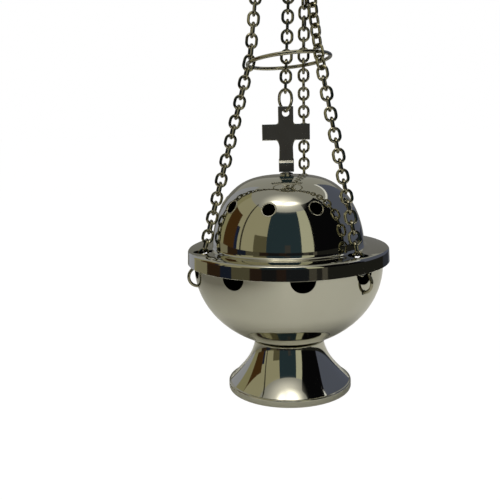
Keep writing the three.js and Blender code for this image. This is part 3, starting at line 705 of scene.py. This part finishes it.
def bail():
    side = (BAIL_WIDTH - BAIL_WIRE) / 2
    clear = (CROSS_PLATE + BAIL_WIRE) / 2 + GAP
    front = [Vector((x * side, y * clear, bail_base + z * BAIL_RISE)) for x, y, z in BAIL_KNOTS]
    back = [Vector((-p.x, -p.y, p.z)) for p in front[-2:0:-1]]
    knots = front + back
    count = len(knots)
    path = []
    for i in range(count):
        a, b, c, d = (knots[(i + k) % count] for k in (-1, 0, 1, 2))
        for step in range(BAIL_STEPS):
            t = step / BAIL_STEPS
            bend = (2 * a - 5 * b + 4 * c - d) * t * t + (3 * b - a - 3 * c + d) * t**3
            path.append(0.5 * ((2 * b) + (c - a) * t + bend))
    body = bmesh.new()
    closed_wire(body, path, BAIL_WIRE / 2, 14)
    piece("bail_wire", mesh_of("bail_wire", body), chain_nickel, "lid", "chain_nickel", "bail")


# Chains and rings

def jump_point(index):
    return place(JUMP_REACH, chain_azimuths[index], jump_height)


def cap_ring_point(index):
    return place(cap_ring_reach, cap_azimuths[index], cap_ring_height) + cap_centre


def spacer_point(index):
    azimuth = spacer_azimuths[index]
    lean = math.tan(math.radians(SPACER_TILT)) * math.cos(math.radians(azimuth - spacer_azimuths[0]))
    return place(1, azimuth, lean).normalized() * spacer_radius + spacer_centre


def suspension(index):
    """One chain in its three stretches, from the jump ring to the cap ring."""
    number = index + 1
    eye = jump_point(index)
    spacer = spacer_point(index)
    level = eye - spacer
    side = UP.cross(Vector((level.x, level.y, 0)).normalized())
    final = LOWER_LINKS + UPPER_LINKS - 1

    def twist_at(i):
        return CHAIN_TWISTS[index] * min(i, final - i, TWIST_RAMP) / TWIST_RAMP

    def upper_twist_at(i):
        return twist_at(i + LOWER_LINKS)

    def top_twist_at(i):
        return turn * (1 - i / TOP_LINKS)

    along = (spacer - eye).normalized()
    reach = (spacer - eye).length
    hook = jump_radius - (JUMP_WIRE + CHAIN_WIRE) / 2 - HOOK_GAP
    last_wire = reach - SPACER_WIRE / 2 - SPACER_SLACK - CHAIN_WIRE / 2
    span = last_wire - hook - CHAIN_WIRE + 2 * LINK_SEAT + HOOK_GAP
    pitch = span / (LOWER_LINKS + UPPER_LINKS)
    half = (pitch + CHAIN_WIRE - LINK_SEAT) / 2
    first_upper = hook + half + LOWER_LINKS * pitch - LINK_SEAT - HOOK_GAP

    lower = bmesh.new()
    add_run(lower, eye + along * (hook + half), along, pitch, LOWER_LINKS, True, side, twist_at)
    upper = bmesh.new()
    add_run(upper, eye + along * first_upper, along, pitch, UPPER_LINKS, False, side, upper_twist_at)

    inner = 2 * CHAIN_WIRE + 2 * SPACER_SLACK + SPACER_WIRE + HOOK_GAP - LINK_SEAT
    inner_base = last_wire - CHAIN_WIRE / 2 - SPACER_SLACK
    top = bmesh.new()
    add_link(top, eye + along * (inner_base + inner / 2), along, side, inner + 2 * CHAIN_WIRE)
    start = spacer + along * ((SPACER_WIRE + CHAIN_WIRE) / 2 + HOOK_GAP)
    cap_hook = cap_ring_point(index) - start
    top_reach = cap_hook.length - cap_ring_radius + (CAP_RING_WIRE + CHAIN_WIRE) / 2 + HOOK_GAP
    top_along = cap_hook.normalized()
    top_pitch = (top_reach - CHAIN_WIRE + LINK_SEAT) / TOP_LINKS
    top_half = (top_pitch + CHAIN_WIRE - LINK_SEAT) / 2
    top_side = sideways(cap_azimuths[index])
    turn = math.degrees(math.copysign(side.angle(top_side), top_side.cross(side).z))
    first = start + top_along * top_half
    add_run(top, first, top_along, top_pitch, TOP_LINKS, True, top_side, top_twist_at)

    for part, body, rides in (
        ("lower", lower, f"lower_stretch_{number}"),
        ("upper", upper, f"upper_stretch_{number}"),
        ("top", top, "top"),
    ):
        name = f"links_{number}_{part}"
        piece(name, mesh_of(name, body), chain_nickel, rides, "chain_nickel", f"chain_{number}_{part}")


def rings(index):
    number = index + 1
    across = sideways(chain_azimuths[index])
    name = f"jump_wire_{number}"
    ring = wire_ring(name, JUMP_DIAMETER - JUMP_EASE, JUMP_WIRE, jump_point(index), across, 48, 14)
    piece(name, ring, chain_nickel, "vessel", "chain_nickel", f"jump_ring_{number}")
    across = sideways(cap_azimuths[index])
    name = f"cap_wire_{number}"
    ring = wire_ring(name, CAP_RING_DIAMETER, CAP_RING_WIRE, cap_ring_point(index), across, 48, 14)
    piece(name, ring, chain_nickel, "top", "chain_nickel", f"cap_ring_{number}")


def lid_chain():
    start = Vector((0, 0, bail_top - (BAIL_WIRE + CHAIN_WIRE) / 2 - HOOK_GAP))
    end = cap_centre + Vector((0, 0, pull_height + (PULL_RING_WIRE + CHAIN_WIRE) / 2 + HOOK_GAP))
    along = (end - start).normalized()
    pitch = ((end - start).length - CHAIN_WIRE + LINK_SEAT) / LID_CHAIN_LINKS
    body = bmesh.new()
    first = start + along * ((pitch + CHAIN_WIRE - LINK_SEAT) / 2)
    add_run(body, first, along, pitch, LID_CHAIN_LINKS, False, sideways(0))
    piece("links_lid", mesh_of("links_lid", body), chain_nickel, "lid", "chain_nickel", "lid_chain")


def spacer_ring():
    lean = Matrix.Rotation(-math.radians(SPACER_TILT), 3, sideways(spacer_azimuths[0])) @ UP
    ring = wire_ring("spacer_wire", SPACER_DIAMETER, SPACER_WIRE, spacer_centre, lean, 128)
    piece("spacer_wire", ring, ring_nickel, "top", "cast_nickel", "spacer_ring")


def hand_cap():
    outline = [
        (CAP_BORE / 2, cap_top - SHEET),
        (CAP_FLAT - CAP_TURN, cap_top - SHEET),
        (CAP_FLAT - CAP_TURN + CAP_STEP, CAP_HEIGHT - SHEET / 2),
        (CAP_RADIUS - CAP_EDGE, CAP_HEIGHT - SHEET / 2),
        (CAP_RADIUS, CAP_HEIGHT),
        (CAP_RADIUS - CAP_EDGE, cap_rim_top),
        (CAP_FLAT + CAP_STEP, cap_rim_top),
        (CAP_FLAT, cap_top),
        (CAP_BORE / 2, cap_top),
    ]
    low, high = CAP_HEIGHT - 2 * SHEET, cap_top + SHEET
    tools = bmesh.new()
    for azimuth in cap_azimuths:
        below, above = (place(cap_hole_reach, azimuth, height) for height in (low, high))
        cylinder(tools, CAP_HOLE / 2, below, above, 24)
    shank = HANG_EYE_WIRE / 2 + GAP
    cylinder(tools, shank, Vector((HANG_EYE_SET, 0, low)), Vector((HANG_EYE_SET, 0, high)), 24)
    shell = cut("hand_cap_holes", turned("hand_cap_blank", outline, 96), mesh_of("hand_cap_tools", tools))
    shell.transform(Matrix.Translation(cap_centre * MM))
    piece("hand_cap_shell", shell, polished_nickel, "top", "polished_nickel", "hand_cap")


def pull_and_hang_rings():
    centre = cap_centre + Vector((0, -(PULL_RING_DIAMETER - PULL_RING_WIRE) / 2, pull_height))
    pull = wire_ring("pull_wire", PULL_RING_DIAMETER, PULL_RING_WIRE, centre, UP)
    piece("pull_wire", pull, chain_nickel, "pull", "chain_nickel", "pull_ring")
    eye_radius = (HANG_EYE_DIAMETER - HANG_EYE_WIRE) / 2
    hook = hang_eye_height + eye_radius - (HANG_EYE_WIRE + HANG_RING_WIRE) / 2 - HOOK_GAP
    centre = Vector((hang_eye_x, CAP_SHIFT_Y, hook + (HANG_RING_DIAMETER - HANG_RING_WIRE) / 2))
    hang = wire_ring("hang_wire", HANG_RING_DIAMETER, HANG_RING_WIRE, centre, Vector((1, 0, 0)), 96)
    piece("hang_wire", hang, cast_nickel, "hanger", "cast_nickel", "hang_ring")


def carried_nodes():
    """The CAD solids that stay in sight get the finish of their slot."""
    finishes = {"plain_steel": plain_steel, "spun_brass": spun_brass, "cast_nickel": cast_nickel}
    slots = {entry["node"]: entry["material_slot"] for entry in frame["record"]["subparts"]}
    for name in (
        "foot_screw", "foot_washer", "foot_nut", "charcoal_cup",
        "cross_stud", "stud_washer", "stud_nut", "hang_eye",
    ):
        solid = frame["nodes"][name]
        for entry in solid.material_slots:
            entry.material = finishes[slots[name]]


# Studio

FLOOR_REACH = 360
FLOOR_END = 9000
FLOOR_DROP = 0.02
FLOOR_DIM_FROM = -240
FLOOR_DIM_TO = -10
FLOOR_WHITE = 1.07
FLOOR_WHITE_SHARE = 0.93
GLOW_AIM = (0, 0, 60)
ROOM_REACH = 1500
ROOM_LOW = -700
ROOM_HIGH = 1850
LOW_TOP = 40
BACK_TOP = 560
RIGHT_TOP = 1450
CARD_STEP = 12

# Cards that stand round the burner out of the camera's sight, for the polished metal to show:
# azimuth from, azimuth to, foot, top, colour. Each stands a little nearer than the one before.
CARDS = (
    (-180, -150, ROOM_LOW, ROOM_HIGH, "#a09f98"),
    (-150, -128, ROOM_LOW, ROOM_HIGH, "#a4a6af"),
    (-128, -111, ROOM_LOW, ROOM_HIGH, "#96916f"),
    (-111, -31, ROOM_LOW, ROOM_HIGH, "#a7a285"),
    (-31, 20, ROOM_LOW, ROOM_HIGH, "#2c3b42"),
    (20, 38, ROOM_LOW, ROOM_HIGH, "#c2c1a8"),
    (38, 90, ROOM_LOW, 2600, "#0b0b0d"),
    (90, 154, ROOM_LOW, RIGHT_TOP, "#5d6273"),
    (154, 180, ROOM_LOW, ROOM_HIGH, "#a09f98"),
    (88, 154, RIGHT_TOP - 10, RIGHT_TOP + 110, "#ffffff"),
    (-180, -150, ROOM_LOW, BACK_TOP, "#74736c"),
    (154, 180, ROOM_LOW, BACK_TOP, "#747370"),
    (-111, -86, ROOM_LOW, 900, "#4a3319"),
    (-86, -80, ROOM_LOW, 560, "#20273f"),
    (-75, -72, ROOM_LOW, ROOM_HIGH, "#3c3a30"),
    (-51, -31, ROOM_LOW, 500, "#615c45"),
    (-4, 4, -30, 280, "#42413f"),
    (-124, -99, ROOM_LOW, LOW_TOP, "#8a856d"),
    (-99, -78, ROOM_LOW, LOW_TOP, "#33261a"),
    (-78, -63, ROOM_LOW, LOW_TOP, "#1c2231"),
    (-63, -41, ROOM_LOW, LOW_TOP, "#565240"),
    (-41, -28, ROOM_LOW, LOW_TOP, "#2c211a"),
    (-28, -12, ROOM_LOW, LOW_TOP, "#1b1b1c"),
    (-12, -2, ROOM_LOW, LOW_TOP, "#2b211c"),
    (-2, 22, ROOM_LOW, LOW_TOP, "#1d1f22"),
    (22, 30, ROOM_LOW, LOW_TOP, "#4b4840"),
    (30, 36, ROOM_LOW, LOW_TOP, "#2a2926"),
    (36, 42, ROOM_LOW, LOW_TOP, "#55524a"),
    (42, 128, ROOM_LOW, LOW_TOP, "#232320"),
    (128, 150, ROOM_LOW, LOW_TOP, "#34373f"),
)


def stage_object(name, mesh, finish):
    made = bpy.data.objects.new(name, mesh)
    mesh.materials.append(finish)
    scene.collection.objects.link(made)
    return made


def glow(name, code):
    made, tree = material(name)
    light = node(tree, "ShaderNodeEmission", Color=linear(code), Strength=1.0)
    node(tree, "ShaderNodeOutputMaterial", Surface=light.outputs[0])
    return made


def card(name, start, end, low, high, reach, finish):
    body = bmesh.new()
    steps = max(2, int((end - start) / 5))
    columns = []
    for i in range(steps + 1):
        azimuth = start + (end - start) * i / steps
        columns.append([body.verts.new(place(reach, azimuth, z)) for z in (low, high)])
    for a, b in zip(columns, columns[1:]):
        body.faces.new((a[0], b[0], b[1], a[1]))
    made = stage_object(name, mesh_of(name, body), finish)
    made.visible_camera = False
    made.visible_shadow = False


def floor():
    """A plain pale floor, white to the camera with a faint shadow. Its colour is painted darker to the left as
    shade, which only the bowl shows, and beyond its edge the polished metal sees the room."""
    made, tree = material("pale_floor")
    where = node(tree, "ShaderNodeTexCoord").outputs["Object"]
    across = node(tree, "ShaderNodeSeparateXYZ", Vector=where).outputs["X"]
    fade = node(
        tree, "ShaderNodeMapRange", Value=across, From_Min=FLOOR_DIM_FROM * MM, From_Max=FLOOR_DIM_TO * MM
    ).outputs[0]
    # Painted shade: the floor's colour darkens towards the left
    tone = node(
        tree, "ShaderNodeMix", {"data_type": "RGBA"}, _0=fade, _6=linear("#918f88"), _7=linear("#e4e3dd")
    )
    matt = node(tree, "ShaderNodeBsdfDiffuse", Color=tone.outputs[2])
    white = node(tree, "ShaderNodeEmission", Color=linear("#ffffff"), Strength=FLOOR_WHITE)
    path = node(tree, "ShaderNodeLightPath").outputs["Is Camera Ray"]
    share = node(tree, "ShaderNodeMath", {"operation": "MULTIPLY"}, _0=path, _1=FLOOR_WHITE_SHARE)
    mixed = node(tree, "ShaderNodeMixShader", _0=share.outputs[0], _1=matt.outputs[0], _2=white.outputs[0])
    node(tree, "ShaderNodeOutputMaterial", Surface=mixed.outputs[0])
    steps = 72

    def edge(body, reach):
        return [body.verts.new(place(reach, 360 * i / steps, -FLOOR_DROP)) for i in range(steps)]

    near = bmesh.new()
    near.faces.new(edge(near, FLOOR_REACH))
    stage_object("floor_near", mesh_of("floor_near", near), made)
    far = bmesh.new()
    inner, outer = edge(far, FLOOR_REACH), edge(far, FLOOR_END)
    for i in range(steps):
        k = (i + 1) % steps
        far.faces.new((inner[i], inner[k], outer[k], outer[i]))
    stage_object("floor_far", mesh_of("floor_far", far), made).visible_glossy = False


def world():
    made = bpy.data.worlds.new("studio")
    made.use_nodes = True
    tree = made.node_tree
    tree.nodes.clear()
    path = node(tree, "ShaderNodeLightPath").outputs["Is Camera Ray"]
    ceiling = node(tree, "ShaderNodeBackground", Color=linear("#9f9e98"), Strength=1.0)
    white = node(tree, "ShaderNodeBackground", Color=linear("#ffffff"), Strength=1.0)
    mixed = node(tree, "ShaderNodeMixShader", _0=path, _1=ceiling.outputs[0], _2=white.outputs[0])
    node(tree, "ShaderNodeOutputWorld", Surface=mixed.outputs[0])
    scene.world = made


def ceiling_glow(name, azimuth, elevation, distance, width, height, strength):
    """An oval soft light overhead that fades to nothing at its edge, so metal shows no hard patch."""
    made, tree = material(name)
    where = node(tree, "ShaderNodeTexCoord").outputs["Object"]
    spread = node(tree, "ShaderNodeMapping", Vector=where, Scale=(1 / (width * MM), 1 / (height * MM), 1))
    fade = node(tree, "ShaderNodeTexGradient", {"gradient_type": "QUADRATIC_SPHERE"}, Vector=spread.outputs[0])
    level = node(tree, "ShaderNodeMath", {"operation": "MULTIPLY"}, _0=fade.outputs["Fac"], _1=strength)
    light = node(tree, "ShaderNodeEmission", Color=linear("#fffaf0"), Strength=level.outputs[0])
    clear = node(tree, "ShaderNodeBsdfTransparent")
    both = node(tree, "ShaderNodeAddShader", _0=light.outputs[0], _1=clear.outputs[0])
    node(tree, "ShaderNodeOutputMaterial", Surface=both.outputs[0])
    body = bmesh.new()
    bmesh.ops.create_circle(body, cap_ends=True, segments=48, radius=width)
    bmesh.ops.scale(body, vec=(1, height / width, 1), verts=body.verts)
    disc = stage_object(name, mesh_of(name, body), made)
    rise = math.radians(elevation)
    away = place(math.cos(rise), azimuth, math.sin(rise)) * distance
    facing = away.to_track_quat("Z", "Y").to_matrix().to_4x4()
    disc.matrix_world = Matrix.Translation((away + Vector(GLOW_AIM)) * MM) @ facing
    disc.visible_camera = False


def soft_lamp(azimuth, elevation, distance, size, watts):
    """The room's even light on the floor, left out of what the metal mirrors."""
    data = bpy.data.lights.new("soft_lamp", "AREA")
    data.shape = "DISK"
    data.size = size * MM
    data.energy = watts
    made = bpy.data.objects.new("soft_lamp", data)
    rise = math.radians(elevation)
    made.location = place(math.cos(rise), azimuth, math.sin(rise)) * distance * MM
    made.rotation_euler = (-made.location).to_track_quat("-Z", "Y").to_euler()
    made.visible_glossy = False
    scene.collection.objects.link(made)


def studio():
    for i, (start, end, low, high, code) in enumerate(CARDS):
        card(f"card_{i}", start, end, low, high, ROOM_REACH - CARD_STEP * i, glow(f"card_{i}", code))
    floor()
    world()
    ceiling_glow("ceiling_glow", -15, 69, 1500, 950, 620, 1.7)
    ceiling_glow("ceiling_lamp", 12, 66, 1480, 420, 150, 4.7)
    ceiling_glow("left_lamp", -34, 66, 1460, 290, 150, 6.3)
    soft_lamp(-5, 75, 1500, 900, 10.5)


camera()
foot()
bowl()
lid()
vent_beads()
cross()
bail()
for chain in range(CHAIN_COUNT):
    suspension(chain)
    rings(chain)
lid_chain()
spacer_ring()
hand_cap()
pull_and_hang_rings()
carried_nodes()
studio()
scene.view_settings.view_transform = "Standard"
